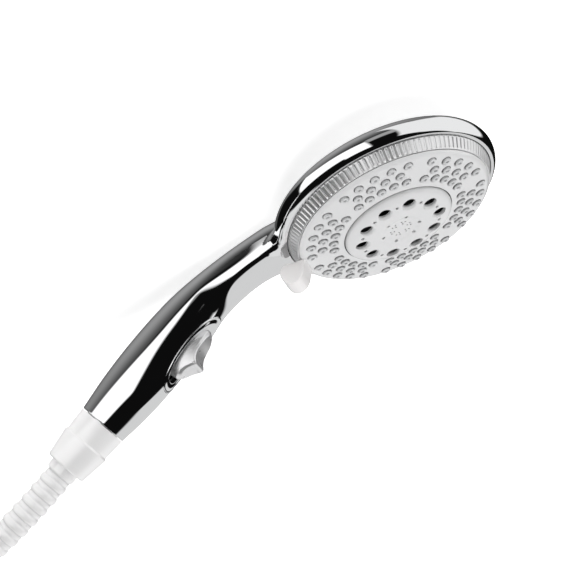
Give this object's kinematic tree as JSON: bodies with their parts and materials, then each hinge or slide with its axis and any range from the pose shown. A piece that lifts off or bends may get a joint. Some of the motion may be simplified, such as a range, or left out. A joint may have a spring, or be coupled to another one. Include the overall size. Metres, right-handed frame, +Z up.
{
  "type": "handheld shower head",
  "caption": "Handheld shower head with a curved chromed handle, a turning spray face with a lever, a sliding flow button and a ribbed metal hose lying in a tied coil.",
  "frame": {"origin": "under the middle of the handset's box, on the surface that the handset lies on with its spray face up", "axes": "+X from the head along the handle to the hose, +Z up, +Y across the handset; the head's axis and the handle's centreline lie in the XZ plane"},
  "size_m": [0.5333, 0.1892, 0.072],
  "materials": {
    "brass": "machined",
    "chrome": "polished chrome plate",
    "hose": "bright ribbed steel strip",
    "inner_plastic": "unpainted moulding",
    "nozzle_rubber": "soft silicone, matt",
    "pale_metal": "bright, pale",
    "seal_rubber": "matt",
    "silver_slide": "polished",
    "steel": "plain",
    "white": "glossy"
  },
  "bodies": {
    "handset": {"body_shell": "chrome", "button_bezel": "chrome", "chamber_body": "inner_plastic", "chamber_gasket": "seal_rubber", "pivot_post": "brass", "face_washer": "steel", "face_screw": "steel", "detent_spring": "steel", "detent_ball": "steel", "valve_body": "inner_plastic", "water_tube_inlet": "inner_plastic", "water_tube_head": "inner_plastic", "inlet_nipple": "chrome", "inlet_seal": "seal_rubber", "flow_regulator": "inner_plastic", "inlet_strainer": "steel", "hose_washer": "seal_rubber", "hose_ferrule": "pale_metal", "hose_tube": "hose", "hose_coil": "hose", "coil_tie": "seal_rubber", "hose_tail": "hose", "end_ferrule": "pale_metal", "end_washer": "seal_rubber"},
    "spray_face": {"spray_plate": "white", "knurled_ring": "chrome", "nozzle_mat": "nozzle_rubber", "massage_disc": "white", "face_core": "inner_plastic", "diverter_disc": "inner_plastic", "turbine_axle": "steel"},
    "massage_turbine": {"massage_turbine": "inner_plastic"},
    "flow_slider": {"slide_button": "silver_slide", "valve_spool": "brass", "spool_seal_head": "seal_rubber", "spool_seal_inlet": "seal_rubber"},
    "hose_nut": {"hose_nut": "pale_metal"},
    "end_nut": {"end_nut": "pale_metal"}
  },
  "joints": [
    {"name": "spray_select", "type": "hinge", "parent": "handset", "child": "spray_face", "pos_m": [-0.06187, 0, 0.02378], "axis": [0.0803, 0, 0.9968], "range_deg": [-60, 60]},
    {"name": "turbine_spin", "type": "hinge", "parent": "spray_face", "child": "massage_turbine", "pos_m": [-0.06187, 0, 0.02378], "axis": [0.0803, 0, 0.9968], "continuous": true},
    {"name": "flow_slide", "type": "slide", "parent": "handset", "child": "flow_slider", "axis": [0.8997, 0, 0.4365], "range_m": [0, 0.003]},
    {"name": "hose_nut_spin", "type": "hinge", "parent": "handset", "child": "hose_nut", "pos_m": [0.10341, 0, 0.04176], "axis": [0.9397, 0, 0.3419], "continuous": true},
    {"name": "end_nut_spin", "type": "hinge", "parent": "handset", "child": "end_nut", "pos_m": [0.223, -0.12, 0.0121], "axis": [-1, 0, 0], "continuous": true}
  ]
}
